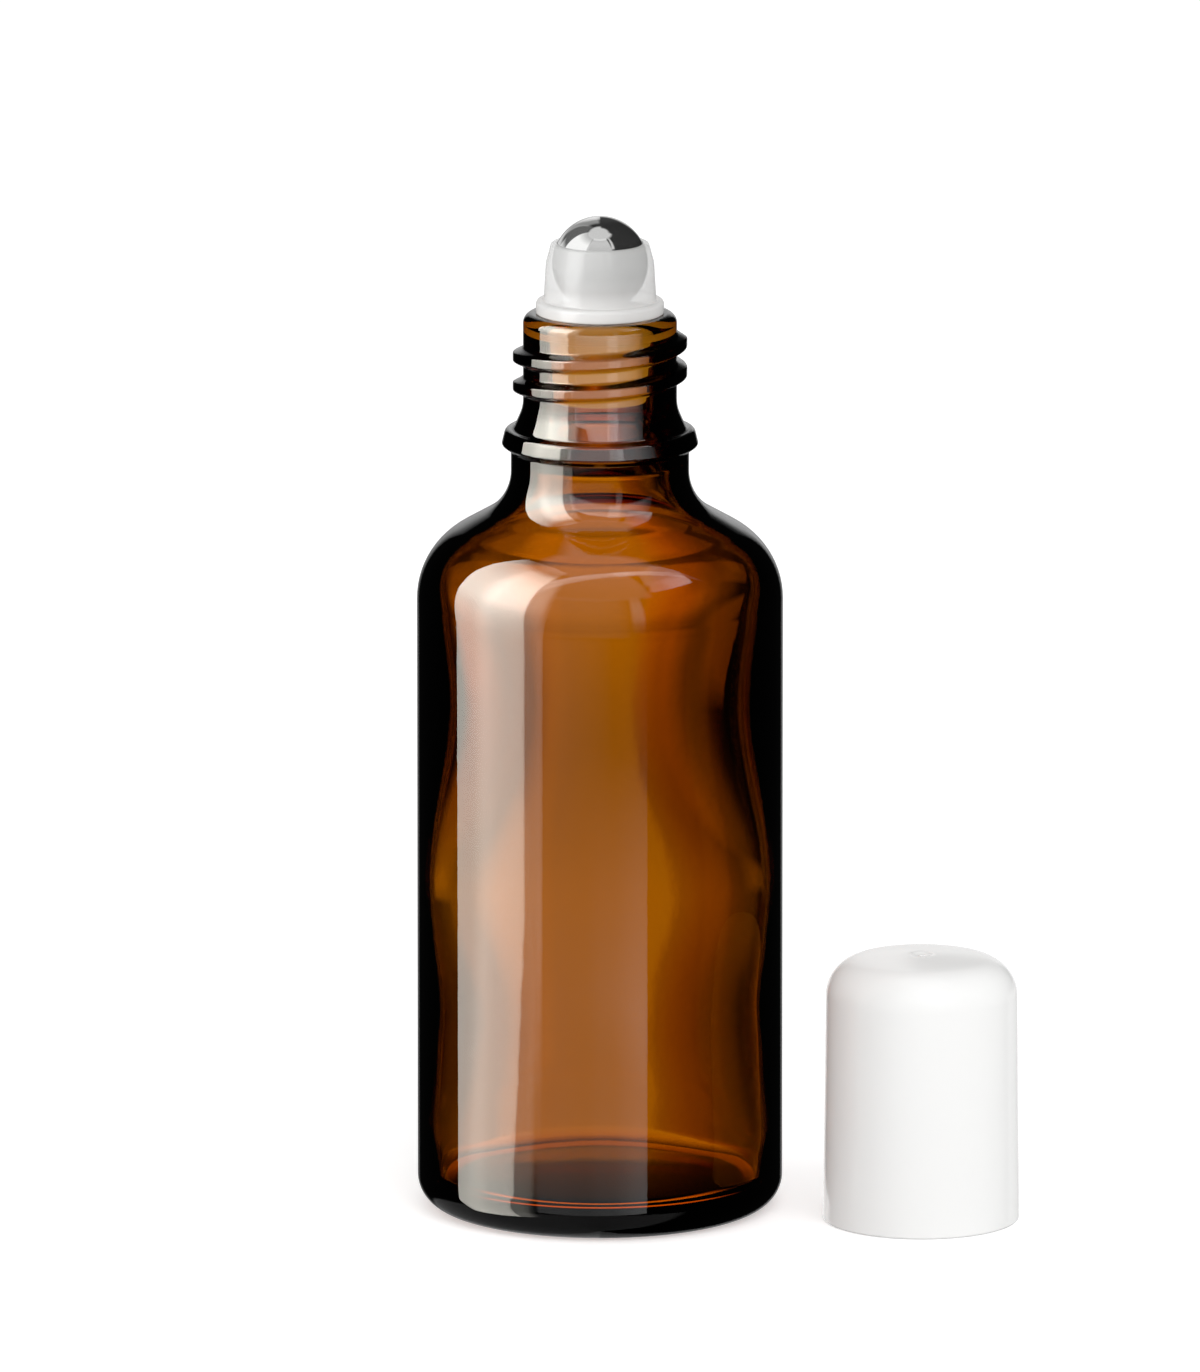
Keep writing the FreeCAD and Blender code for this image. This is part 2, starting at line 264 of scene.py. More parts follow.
def thread_tree():
    """Geometry nodes that raise a helical bead on the wall of a turned piece."""
    tree = bpy.data.node_groups.new("raised_thread", "GeometryNodeTree")
    tree.interface.new_socket("Geometry", in_out="INPUT", socket_type="NodeSocketGeometry")
    for name in ("Pitch", "Depth", "Crest Width", "Root Width", "Height At Zero", "Low Turn", "High Turn",
                 "Run Out Turn", "Least Radius", "Greatest Radius", "Centre X", "Centre Y"):
        tree.interface.new_socket(name, in_out="INPUT", socket_type="NodeSocketFloat")
    tree.interface.new_socket("Material", in_out="INPUT", socket_type="NodeSocketMaterial")
    tree.interface.new_socket("Geometry", in_out="OUTPUT", socket_type="NodeSocketGeometry")
    given = add(tree, "NodeGroupInput").outputs
    place = add(tree, "GeometryNodeInputPosition").outputs[0]
    centre = add(tree, "ShaderNodeCombineXYZ", {"X": given["Centre X"], "Y": given["Centre Y"]}).outputs[0]
    off_axis = add(tree, "ShaderNodeVectorMath", {0: place, 1: centre}, operation="SUBTRACT").outputs[0]
    parts = add(tree, "ShaderNodeSeparateXYZ", {0: off_axis}).outputs
    angle = add(tree, "ShaderNodeMath", {0: parts["Y"], 1: parts["X"]}, operation="ARCTAN2").outputs[0]
    turn = add(tree, "ShaderNodeMath", {0: angle, 1: 2 * math.pi}, operation="DIVIDE").outputs[0]
    heights = {0: parts["Z"], 1: given["Height At Zero"]}
    height = add(tree, "ShaderNodeMath", heights, operation="SUBTRACT").outputs[0]
    rise = add(tree, "ShaderNodeMath", {0: height, 1: given["Pitch"]}, operation="DIVIDE").outputs[0]
    # the nearest turn of the helix above or below the point, counted on from its start
    whole = add(tree, "ShaderNodeMath", {0: rise, 1: turn}, operation="SUBTRACT").outputs[0]
    whole = add(tree, "ShaderNodeMath", {0: whole}, operation="ROUND").outputs[0]
    helix_turn = add(tree, "ShaderNodeMath", {0: turn, 1: whole}, operation="ADD").outputs[0]
    miss = add(tree, "ShaderNodeMath", {0: rise, 1: helix_turn}, operation="SUBTRACT").outputs[0]
    miss = add(tree, "ShaderNodeMath", {0: miss}, operation="ABSOLUTE").outputs[0]
    away = add(tree, "ShaderNodeMath", {0: miss, 1: given["Pitch"]}, operation="MULTIPLY").outputs[0]
    half_crest = add(tree, "ShaderNodeMath", {0: given["Crest Width"], 1: 2.0}, operation="DIVIDE").outputs[0]
    half_root = add(tree, "ShaderNodeMath", {0: given["Root Width"], 1: 2.0}, operation="DIVIDE").outputs[0]
    low, high, run_out = given["Low Turn"], given["High Turn"], given["Run Out Turn"]
    low_full = add(tree, "ShaderNodeMath", {0: low, 1: run_out}, operation="ADD").outputs[0]
    high_full = add(tree, "ShaderNodeMath", {0: high, 1: run_out}, operation="SUBTRACT").outputs[0]
    # full depth on the crest, nothing past the root, and a smooth run out at both ends
    lift = given["Depth"]
    for value, nothing, full in ((away, half_root, half_crest), (helix_turn, low, low_full),
                                 (helix_turn, high, high_full)):
        share = add(tree, "ShaderNodeMapRange", {"Value": value, "From Min": nothing, "From Max": full},
                    interpolation_type="SMOOTHSTEP").outputs[0]
        lift = add(tree, "ShaderNodeMath", {0: lift, 1: share}, operation="MULTIPLY").outputs[0]
    outward = add(tree, "ShaderNodeCombineXYZ", {"X": parts["X"], "Y": parts["Y"]}).outputs[0]
    radius = add(tree, "ShaderNodeVectorMath", {0: outward}, operation="LENGTH").outputs["Value"]
    unit = add(tree, "ShaderNodeVectorMath", {0: outward}, operation="NORMALIZE").outputs[0]
    move = add(tree, "ShaderNodeVectorMath", {0: unit, "Scale": lift}, operation="SCALE").outputs[0]
    least, greatest = given["Least Radius"], given["Greatest Radius"]
    past = add(tree, "ShaderNodeMath", {0: radius, 1: least}, operation="GREATER_THAN").outputs[0]
    short = add(tree, "ShaderNodeMath", {0: radius, 1: greatest}, operation="LESS_THAN").outputs[0]
    on_wall = add(tree, "ShaderNodeMath", {0: past, 1: short}, operation="MULTIPLY").outputs[0]
    raised = add(tree, "GeometryNodeSetPosition",
                 {"Geometry": given["Geometry"], "Selection": on_wall, "Offset": move}).outputs[0]
    real = add(tree, "GeometryNodeRealizeInstances", {0: raised}).outputs[0]
    dressed = add(tree, "GeometryNodeSetMaterial", {"Geometry": real, "Material": given["Material"]})
    add(tree, "NodeGroupOutput", {0: dressed.outputs[0]})
    return tree


def with_thread(piece, tree, sizes):
    """The piece with its thread raised by the node tree, as a plain mesh."""
    modifier = piece.modifiers.new("thread", "NODES")
    modifier.node_group = tree
    for item in tree.interface.items_tree:
        if item.in_out == "INPUT" and item.name in sizes:
            modifier[item.identifier] = sizes[item.name]
    evaluated = piece.evaluated_get(bpy.context.evaluated_depsgraph_get())
    mesh = bpy.data.meshes.new_from_object(evaluated)
    mesh.name = piece.name
    piece.modifiers.remove(modifier)
    piece.data = mesh
    return piece


def new_material(name):
    """A new material with its tree, its surface shader and its output."""
    material = bpy.data.materials.new(name)
    material.use_nodes = True
    tree = material.node_tree
    tree.nodes.clear()
    surface = add(tree, "ShaderNodeBsdfPrincipled")
    output = add(tree, "ShaderNodeOutputMaterial", {"Surface": surface.outputs[0]})
    return material, tree, surface, output


def object_place(tree, scale):
    """Object coordinates, stretched by a scale for each axis."""
    place = add(tree, "ShaderNodeTexCoord").outputs["Object"]
    return add(tree, "ShaderNodeMapping", {"Vector": place, "Scale": scale}).outputs[0]


def relief(tree, surface, heights, depth_mm):
    """Roughens a surface with a relief of that depth."""
    bump = add(tree, "ShaderNodeBump", {"Height": heights, "Distance": depth_mm * MM})
    tree.links.new(bump.outputs[0], surface.inputs["Normal"])


def per_mm(count):
    """A pattern's scale from how many of its features lie on a millimetre."""
    return count / MM


def amber_glass():
    # Blown soda-lime glass, coloured through with iron and sulphur: clear brown where it is thin, near black
    # where light runs a long way in the wall, with a fire-polished skin that ripples what it mirrors.
    material, tree, surface, output = new_material("amber_soda_lime_glass_blown")
    surface.inputs["Base Color"].default_value = linear("#FFFFFF")
    surface.inputs["Roughness"].default_value = 0.0
    surface.inputs["IOR"].default_value = 1.52
    surface.inputs["Transmission Weight"].default_value = 1.0
    ripple = add(tree, "ShaderNodeTexNoise",
                 {"Vector": object_place(tree, (1.0, 1.0, 0.6)), "Scale": per_mm(0.35), "Detail": 3.0})
    relief(tree, surface, ripple.outputs["Fac"], 0.006)
    # how much of each colour a metre of the glass takes away
    taken = (200.0, 515.0, 1700.0)
    density = 1900.0
    passed = tuple(1 - t / density for t in taken) + (1.0,)
    inside = add(tree, "ShaderNodeVolumeAbsorption", {"Color": passed, "Density": density})
    tree.links.new(inside.outputs[0], output.inputs["Volume"])
    return material


def natural_polyethylene():
    # Low-density polyethylene without pigment, moulded: waxy and white where it is thick, and where its wall
    # is thin over the ball the steel shows through it.
    material, tree, surface, output = new_material("natural_polyethylene_moulded")
    surface.inputs["Base Color"].default_value = linear("#DCDCDB")
    surface.inputs["Roughness"].default_value = 0.2
    surface.inputs["IOR"].default_value = 1.51
    grain = add(tree, "ShaderNodeTexNoise",
                {"Vector": object_place(tree, (1.0, 1.0, 1.0)), "Scale": per_mm(1.6), "Detail": 2.0})
    relief(tree, surface, grain.outputs["Fac"], 0.006)
    passed_on = add(tree, "ShaderNodeBsdfTranslucent", {"Color": linear("#DCDCDB")})
    milky = add(tree, "ShaderNodeMixShader", {0: 0.3, 1: surface.outputs[0], 2: passed_on.outputs[0]})
    place = add(tree, "ShaderNodeTexCoord").outputs["Object"]
    height = add(tree, "ShaderNodeSeparateXYZ", {0: place}).outputs["Z"]
    # a painted glow, which no lamp gives, that stands in for light running down inside the milky wall and
    # leaving it along the sleeve
    painted_glow = add(tree, "ShaderNodeEmission", {"Strength": ramp(tree, height, painted_sleeve_glow)})
    milky = add(tree, "ShaderNodeAddShader", {0: milky.outputs[0], 1: painted_glow.outputs[0]})
    clearness = ramp(tree, height, polyethylene_clearness)
    back = add(tree, "ShaderNodeNewGeometry").outputs["Backfacing"]
    back = add(tree, "ShaderNodeMath", {0: back, 1: inner_clearness}, operation="MULTIPLY").outputs[0]
    clearness = add(tree, "ShaderNodeMath", {0: clearness, 1: back}, operation="MAXIMUM").outputs[0]
    clear = add(tree, "ShaderNodeBsdfTransparent")
    both = add(tree, "ShaderNodeMixShader", {0: clearness, 1: milky.outputs[0], 2: clear.outputs[0]})
    tree.links.new(both.outputs[0], output.inputs["Surface"])
    return material


def polished_steel():
    # Stainless bearing steel, ground and lapped: a clean mirror that is a little darker than chrome.
    material, tree, surface, _ = new_material("stainless_steel_lapped")
    surface.inputs["Base Color"].default_value = linear("#C9C9C8")
    surface.inputs["Metallic"].default_value = 0.96
    surface.inputs["Roughness"].default_value = 0.06
    haze = add(tree, "ShaderNodeTexNoise",
               {"Vector": object_place(tree, (1.0, 1.0, 1.0)), "Scale": per_mm(6.0), "Detail": 2.0})
    relief(tree, surface, haze.outputs["Fac"], 0.0002)
    return material


def white_polypropylene():
    # Polypropylene filled with white pigment, moulded in a polished tool: an even glossy white.
    material, tree, surface, _ = new_material("white_polypropylene_moulded")
    surface.inputs["Base Color"].default_value = linear("#F5F5F4")
    surface.inputs["Roughness"].default_value = 0.16
    surface.inputs["IOR"].default_value = 1.49
    skin = add(tree, "ShaderNodeTexNoise",
               {"Vector": object_place(tree, (1.0, 1.0, 0.4)), "Scale": per_mm(0.4), "Detail": 2.0})
    relief(tree, surface, skin.outputs["Fac"], 0.004)
    return material


# How much shows through the soft plastic, by height in metres: some through the sleeve and most over the ball
polyethylene_clearness = (
    (0.0833, 0.45), (0.0915, 0.45), (0.0921, 0.0), (0.0930, 0.03), (0.0945, 0.22), (0.0952, 0.34),
    (0.0965, 0.42), (0.0993, 0.42),
)
# how much of the milky wall's far side shows through its hollow
inner_clearness = 0.62
# how bright the painted glow is that stands in for light carried by the wall, by height in metres
painted_sleeve_glow = (
    (0.0833, 0.46), (0.0890, 0.40), (0.0903, 0.30), (0.0912, 0.20), (0.0917, 0.08), (0.0936, 0.08),
    (0.0950, 0.0), (0.0993, 0.0),
)

# Where the blown wall is thicker or thinner: height, reach and extra thickness of each band, in mm
wall_bands = ((52.0, 9.0, 0.7), (33.0, 8.5, -0.45), (21.0, 4.0, 0.15), (7.0, 5.0, -0.25))
# The bands fade out over this much below the shoulder, and above a line just over the floor
bands_fade = 4.0
bands_foot = floor_thickness + 1.0


def blown_wall(radius, height, angle):
    """The radius of a point of the bottle, with the inner wall as uneven as blowing leaves it."""
    outside = radius > body_radius - glass_wall * 0.9
    if outside or not bands_foot <= height <= shoulder_corner:
        return radius
    extra = sum(more * math.exp(-((height - middle) / reach) ** 2) for middle, reach, more in wall_bands)
    fade = min(1.0, (shoulder_corner - height) / bands_fade, (height - bands_foot) / bands_fade)
    # the front and back of the wall are even
    return radius - extra * fade * math.cos(angle) ** 2


def bottle_points():
    """The bottle's outline, from the middle under its foot, over the lip, to the middle of its floor."""
    drop = glass_wall * (1 - math.sin(shoulder_slope)) / math.cos(shoulder_slope)
    inner_radius = body_radius - glass_wall
    inner_neck_radius = lower_neck_radius - glass_wall
    inner_foot_rounding = neck_foot_rounding + glass_wall
    foot_end = shoulder_top - drop + inner_foot_rounding * math.tan((math.pi / 2 - shoulder_slope) / 2)
    crown_radius = inner_radius - floor_rounding - hair
    outside = outline([
        (foot_ring_radius, 0.0),
        (body_radius, 0.0, foot_rounding),
        (body_radius, shoulder_corner, shoulder_rounding),
        (lower_neck_radius, shoulder_top, neck_foot_rounding),
        (lower_neck_radius, collar_underside, collar_root_rounding),
        (collar_radius, collar_edge, collar_edge_rounding),
        (collar_top_radius, collar_top, collar_top_rounding),
        (flare_radius, collar_top + collar_top_crown, flare_foot_rounding),
        (neck_radius, flare_top, flare_rounding),
        (neck_radius, bottle_height, lip_rounding),
        (bore_radius + lip_rounding / 4, bottle_height),
    ])
    inside = outline([
        (bore_radius + lip_rounding / 4, bottle_height),
        (bore_radius, bottle_height, lip_rounding / 4),
        (bore_radius, bottle_height - bore_length, bore_rounding),
        (inner_neck_radius, foot_end + bore_rounding / 2, bore_rounding),
        (inner_neck_radius, shoulder_top - drop, inner_foot_rounding),
        (inner_radius, shoulder_corner - drop, shoulder_rounding - glass_wall),
        (inner_radius, floor_thickness, floor_rounding),
        (crown_radius, floor_thickness),
    ])
    push_up = list(reversed(dome(foot_ring_radius, 0.0, push_up_depth)))
    crown = dome(crown_radius, floor_thickness, floor_crown)
    points = push_up + outside + inside[1:] + crown
    # long upright runs get rows of their own, close together where the thread is raised
    filled = []
    for here, after in zip(points, points[1:]):
        filled.append(here)
        upright = math.isclose(here[0], after[0], abs_tol=hair)
        if upright and math.isclose(here[0], neck_radius, abs_tol=hair):
            filled += between(here, after, thread_row)
        elif upright and here[0] > bore_radius and math.dist(here, after) > 1.5 * wall_row:
            filled += between(here, after, wall_row)
    return filled + points[-1:]


def make_bottle(tree, material):
    piece = turned("glass_bottle", bottle_points(), reshape=blown_wall)
    return with_thread(piece, tree, {
        "Pitch": thread_pitch * MM,
        "Depth": thread_depth * MM,
        "Crest Width": bead_crest_width * MM,
        "Root Width": bead_root_width * MM,
        "Height At Zero": bead_height_at_zero * MM,
        "Low Turn": bead_low_end_deg / 360,
        "High Turn": bead_high_end_deg / 360,
        "Run Out Turn": bead_run_out_deg / 360,
        "Least Radius": (bore_radius + bead_wall_margin) * MM,
        "Greatest Radius": (body_radius + bead_wall_margin) * MM,
        "Material": material,
    })


def sleeve_point(depth):
    """A point on the tapering outside of the sleeve, at a depth below the lip."""
    share_down = (depth - neck_groove_height) / (sleeve_length - neck_groove_height)
    return sleeve_top_radius - share_down * (sleeve_top_radius - sleeve_end_radius), bottle_height - depth


def make_roller_housing(material):
    sleeve_end = bottle_height - sleeve_length
    dome_foot = bottle_height + flange_thickness
    rim_top = bottle_height + rim_height
    rim_bore_radius = math.sqrt(socket_radius ** 2 - (rim_top - ball_height) ** 2)
    rim_radius = rim_bore_radius + rim_wall
    seat_bottom = ball_height - math.sqrt(socket_radius ** 2 - feed_hole_radius ** 2)
    hollow_top = seat_bottom - seat_floor_thickness
    hollow_radius = sleeve_top_radius - neck_groove_depth - sleeve_wall
    outside = outline([
        (sleeve_end_radius - sleeve_wall, sleeve_end),
        (sleeve_end_radius, sleeve_end, sleeve_end_rounding),
        sleeve_point(seal_depth + seal_height / 2),
        (seal_radius, bottle_height - seal_depth - seal_land_height / 2, seal_rounding),
        (seal_radius, bottle_height - seal_depth + seal_land_height / 2, seal_rounding),
        sleeve_point(seal_depth - seal_height / 2),
        (sleeve_top_radius, bottle_height - neck_groove_height),
        (sleeve_top_radius - neck_groove_depth, bottle_height - neck_groove_height),
        (sleeve_top_radius - neck_groove_depth, bottle_height),
        (flange_radius, bottle_height, flange_edge_rounding),
        (flange_radius, dome_foot, flange_top_rounding),
        (dome_foot_radius, dome_foot, dome_foot_rounding),
        (dome_shoulder_radius, bottle_height + dome_shoulder_height, dome_shoulder_rounding),
        (rim_radius, rim_top, rim_rounding),
        (rim_bore_radius, rim_top),
    ])
    top_angle = math.asin((rim_top - ball_height) / socket_radius)
    low_angle = -math.acos(feed_hole_radius / socket_radius)
    steps = 40
    angles = [top_angle + (low_angle - top_angle) * i / steps for i in range(1, steps + 1)]
    socket = [(socket_radius * math.cos(a), ball_height + socket_radius * math.sin(a)) for a in angles]
    inside = outline([
        (feed_hole_radius, hollow_top + sleeve_wall / 2),
        (feed_hole_radius, hollow_top, sleeve_wall / 4),
        (hollow_radius, hollow_top, sleeve_wall),
        (sleeve_end_radius - sleeve_wall, sleeve_end + sleeve_end_rounding),
    ])
    piece = turned("soft_roller_housing", outside + socket + inside, closed=True)
    piece.data.materials.append(material)
    piece.data.set_sharp_from_angle(angle=math.radians(40))
    return piece


def make_roller_ball(material):
    steps = 120
    angles = [-math.pi / 2 + math.pi * i / steps for i in range(1, steps)]
    middle = [(ball_radius * math.cos(a), ball_height + ball_radius * math.sin(a)) for a in angles]
    points = [(0.0, ball_height - ball_radius)] + middle + [(0.0, ball_height + ball_radius)]
    piece = turned("steel_roller_ball", points)
    piece.data.materials.append(material)
    return piece


def crown_height(radius):
    """The height of the cap's crowned top at a radius."""
    return cap_height - cap_crown_radius + math.sqrt(cap_crown_radius ** 2 - radius ** 2)


def make_cap(tree, material):
    ceiling = cap_height - cap_ceiling
    inside = outline([
        (0.0, ceiling),
        (boss_radius - boss_wall, ceiling),
        (boss_radius - boss_wall, boss_end),
        (boss_radius, boss_end, boss_wall / 4),
        (boss_radius, ceiling),
        (cap_bore_top_radius, ceiling, cap_ceiling_rounding),
        (cap_bore_radius, cap_mouth_length + cap_mouth_edge),
        (cap_mouth_bore_radius, cap_mouth_length),
        (cap_mouth_bore_radius, 0.0),
    ])
    top_corner = (cap_top_radius, crown_height(cap_top_radius), cap_top_rounding)
    inner_crown = (cap_top_radius - cap_top_rounding, crown_height(cap_top_radius - cap_top_rounding))
    outside = outline([
        (cap_mouth_bore_radius, 0.0),
        (cap_mouth_radius, 0.0, cap_rim_rounding),
        top_corner,
        inner_crown,
    ])
    crown_radii = [inner_crown[0] + (gate_dimple_radius - inner_crown[0]) * i / 12 for i in range(1, 13)]
    crown = [(r, crown_height(r)) for r in crown_radii]
    dimple = dome(gate_dimple_radius, crown_height(gate_dimple_radius), -gate_dimple_depth)
    dimple = [point for point in dimple if point[0] > gate_pip_radius * 1.2]
    dimple_floor = crown_height(gate_dimple_radius) - gate_dimple_depth
    pip = [
        (gate_pip_radius, dimple_floor + 2 * hair),
        (gate_pip_radius * 0.9, dimple_floor + gate_pip_height),
        (0.0, dimple_floor + gate_pip_height),
    ]
    points = inside[:-1] + outside + crown + dimple + pip
    filled = []
    for here, after in zip(points, points[1:]):
        filled.append(here)
        if here[1] - after[1] > thread_pitch and here[0] < cap_mouth_bore_radius:
            filled += between(here, after, thread_row * 2)
    piece = turned("white_cap", filled + points[-1:], centre=cap_centre)
    low_height = cap_mouth_length + cap_mouth_edge + ridge_root_width / 2
    height_at_zero = bead_height_at_zero - thread_pitch / 2 + ridge_above_middle - cap_closed_height
    low_turn = (low_height - height_at_zero) / thread_pitch
    piece = with_thread(piece, tree, {
        "Pitch": thread_pitch * MM,
        "Depth": -ridge_depth * MM,
        "Crest Width": ridge_crest_width * MM,
        "Root Width": ridge_root_width * MM,
        "Height At Zero": height_at_zero * MM,
        "Low Turn": low_turn,
        "High Turn": low_turn + ridge_turns,
        "Run Out Turn": bead_run_out_deg / 360,
        "Least Radius": (cap_bore_top_radius - ridge_wall_margin) * MM,
        "Greatest Radius": (cap_bore_radius + 2 * hair) * MM,
        "Centre X": cap_centre[0] * MM,
        "Centre Y": cap_centre[1] * MM,
        "Material": material,
    })
    piece.data.set_sharp_from_angle(angle=math.radians(50))
    return piece


# Light. Azimuth 0 is the photograph's camera and grows to its right; azimuths and elevations are in degrees.
# A patch of light is its brightness, where 1 is white, its shares across and its shares upwards, each as
# stops of (place, share), and for some how far it leans: from one elevation to another, and by how much.
# The stops were chosen one by one, and adjusted by comparing rows of the picture with the photograph.
everywhere = ((-180.0, 1.0), (180.0, 1.0))
overhead = (0.95, everywhere, ((71.0, 0.0), (76.0, 1.0)))
overhead_edge = (0.95, ((-180.0, 1.0), (95.0, 1.0), (105.0, 0.0), (172.0, 0.0), (180.0, 1.0)),
                 ((66.0, 0.0), (71.0, 1.0), (76.0, 0.0)))
front_high = (0.82, ((-40.0, 0.0), (-37.0, 1.0), (36.0, 1.0), (40.0, 0.0)),
              ((34.0, 0.0), (38.0, 0.68), (50.0, 0.8), (60.0, 0.92), (68.0, 1.0), (72.0, 0.0)))
front_low = (0.56, ((-40.0, 0.0), (-36.0, 1.0), (-12.0, 0.95), (0.0, 0.9), (12.0, 0.7), (18.0, 0.3),
                    (20.0, 0.0)),
             ((-10.5, 0.0), (-10.0, 0.50), (0.0, 0.6), (10.0, 0.72), (20.0, 0.9), (30.0, 1.0), (36.0, 1.0),
              (39.0, 0.0)))
front_strip = (1.3, ((19.0, 0.0), (22.0, 1.0), (27.0, 1.0), (29.5, 0.0)),
               ((-10.0, 0.0), (0.0, 0.25), (8.0, 0.75), (20.0, 1.0), (30.0, 0.9), (37.0, 0.3), (39.0, 0.0)))
table_front = (0.45, ((-75.0, 0.8), (-30.0, 0.8), (0.0, 0.6), (30.0, 0.75), (52.0, 0.8), (60.0, 0.0)),
               ((-90.0, 0.4), (-60.0, 0.5), (-26.0, 0.6), (-24.0, 0.0)))
behind_left = (1.0, ((-180.0, 1.0), (-168.0, 0.6), (-161.0, 0.0)),
               ((-14.0, 0.3), (-8.0, 0.35), (0.0, 0.75), (10.0, 1.0), (28.0, 0.75), (34.0, 0.55), (38.0, 0.1),
                (66.0, 0.0)))
behind_right = (1.0, ((161.0, 0.0), (168.0, 0.9), (180.0, 1.0)),
                ((-14.0, 0.3), (-8.0, 0.35), (0.0, 0.75), (10.0, 0.9), (15.0, 0.3), (20.0, 0.05),
                 (66.0, 0.0)))
mirrored = (overhead, overhead_edge, front_high, front_low, front_strip, table_front, behind_left,
            behind_right)
mirrored_dark = 0.004

# What shows through the glass from other sides than the photograph's
window_stops = ((-50.0, 0.0), (-44.0, 1.0), (4.0, 1.0), (10.0, 0.0))
seen_through = (
    (0.8, ((-147.0, 0.0), (-143.0, 1.0), (-127.0, 1.0), (-123.0, 0.0)),
     ((-50.0, 0.0), (-44.0, 1.0), (-22.0, 1.0), (-17.0, 0.0))),
    (0.8, ((-104.0, 0.0), (-100.0, 1.0), (-80.0, 1.0), (-76.0, 0.0)), window_stops),
    (0.8, ((31.0, 0.0), (35.0, 1.0), (55.0, 1.0), (59.0, 0.0)), window_stops),
)
seen_through_dark = 0.004

# The left softbox, brightest above, with a dimmer edge on its right
left_softbox = (21.0,
                ((-103.0, 0.60), (-90.0, 0.70), (-86.0, 0.78), (-80.0, 0.95), (-75.0, 1.0), (-68.0, 0.94),
                 (-52.0, 0.86), (-49.2, 0.75), (-47.8, 0.24), (-40.0, 0.21), (-37.5, 0.16), (-35.0, 0.06),
                 (-32.0, 0.0)),
                ((-16.0, 0.36), (-12.0, 0.42), (-8.0, 0.50), (0.0, 0.58), (10.0, 0.72), (20.0, 0.97),
                 (30.0, 1.0), (40.0, 0.94), (50.0, 0.75), (55.0, 0.6), (60.0, 0.42), (63.0, 0.2),
                 (65.0, 0.11), (74.0, 0.08), (76.0, 0.0)),
                (-13.2, -15.3, 10.0))

# A small softbox high on the right, which only the glass mirrors
right_softbox = (
    (3.5, ((38.0, 0.0), (42.0, 0.40), (50.0, 0.45), (60.0, 0.85), (72.0, 1.0), (77.0, 1.0), (79.0, 0.0)),
     ((41.5, 0.0), (43.0, 1.0), (50.0, 0.9), (56.0, 0.0)), (43.0, 50.0, -3.0)),
    (1.7, ((37.0, 0.0), (40.0, 0.60), (48.0, 0.70), (60.0, 0.9), (72.0, 1.0), (82.0, 1.0), (84.0, 0.0)),
     ((49.0, 0.0), (55.0, 1.0), (68.0, 0.85), (72.0, 0.0)), (50.0, 68.0, -10.0)),
)

# White paper on the table in front, brighter to the right
front_paper = (
    (1.5, ((-36.0, 0.1), (-20.0, 0.1), (-8.0, 0.2), (0.0, 0.4), (10.0, 0.6), (25.0, 1.0), (28.8, 1.0),
           (29.4, 0.0)),
     ((-28.0, 0.8), (-20.0, 0.85), (-18.5, 0.75), (-17.0, 1.0), (-14.9, 0.6), (-12.0, 0.06), (-10.0, 0.0))),
    (0.5, ((-40.0, 0.0), (-38.0, 1.0), (-22.0, 1.0), (-8.0, 0.6), (0.0, 0.35), (8.0, 0.0)),
     ((-28.0, 1.0), (-20.0, 1.0), (-17.0, 0.8), (-14.0, 0.6), (-9.0, 0.64), (-7.5, 0.0))),
)

# A small card close in front of the neck, which only the glass mirrors; its bearings are taken from the neck
neck_middle = (0.0, 0.0, 0.087)
neck_card = (
    (3.2, ((-40.0, 0.0), (-34.0, 1.0), (30.0, 1.0), (46.0, 0.5), (58.0, 0.1), (60.0, 0.0)),
     ((-19.0, 0.0), (-15.0, 0.7), (-2.0, 0.7), (4.0, 1.0), (12.0, 1.0), (15.0, 0.0))),
    (1.6, ((8.0, 0.0), (10.0, 1.0), (20.0, 1.0), (23.0, 0.0)), ((-19.0, 0.0), (-15.0, 1.0), (14.0, 1.0))),
)

# What only the plastic mirrors, and what only the ball mirrors: softer, evener light than the glass has
every_height = ((-90.0, 1.0), (90.0, 1.0))
plastic_softbox = (5.0, everywhere, every_height)
ball_softbox = (
    (1.6, ((-113.0, 0.0), (-110.0, 1.0), (-44.0, 1.0), (-36.0, 0.0)),
     ((-40.0, 1.0), (50.0, 1.0), (62.0, 0.62), (66.0, 0.55), (72.0, 0.0))),
    (0.9, ((-138.0, 0.0), (-134.0, 1.0), (-114.0, 1.0), (-110.0, 0.0)),
     ((-40.0, 1.0), (16.0, 1.0), (24.0, 0.0))),
)
ball_front = (
    (0.26, ((-41.0, 0.0), (-38.0, 1.0), (36.0, 1.0), (41.0, 0.0)),
     ((33.0, 0.0), (38.0, 1.0), (60.0, 0.8), (68.0, 0.0))),
    (0.95, ((36.0, 0.0), (41.0, 1.0), (46.0, 1.0), (50.0, 0.0)),
     ((40.0, 0.0), (44.0, 1.0), (66.0, 1.0), (71.0, 0.0)), (44.0, 66.0, -8.0)),
)
ball_behind = (
    (0.45, ((-180.0, 0.0), (-176.0, 1.0), (-152.0, 1.0), (-147.0, 0.0)),
     ((12.0, 0.0), (18.0, 1.0), (52.0, 0.8), (60.0, 0.0))),
    (0.9, ((-166.0, 0.0), (-160.0, 1.0), (-136.0, 1.0), (-131.0, 0.0)),
     ((-10.0, 1.0), (10.0, 1.0), (18.0, 0.0))),
    (0.16, ((-156.0, 0.0), (-150.0, 1.0), (-112.0, 1.0), (-108.0, 0.0)),
     ((14.0, 0.0), (22.0, 1.0), (64.0, 1.0), (70.0, 0.0))),
)

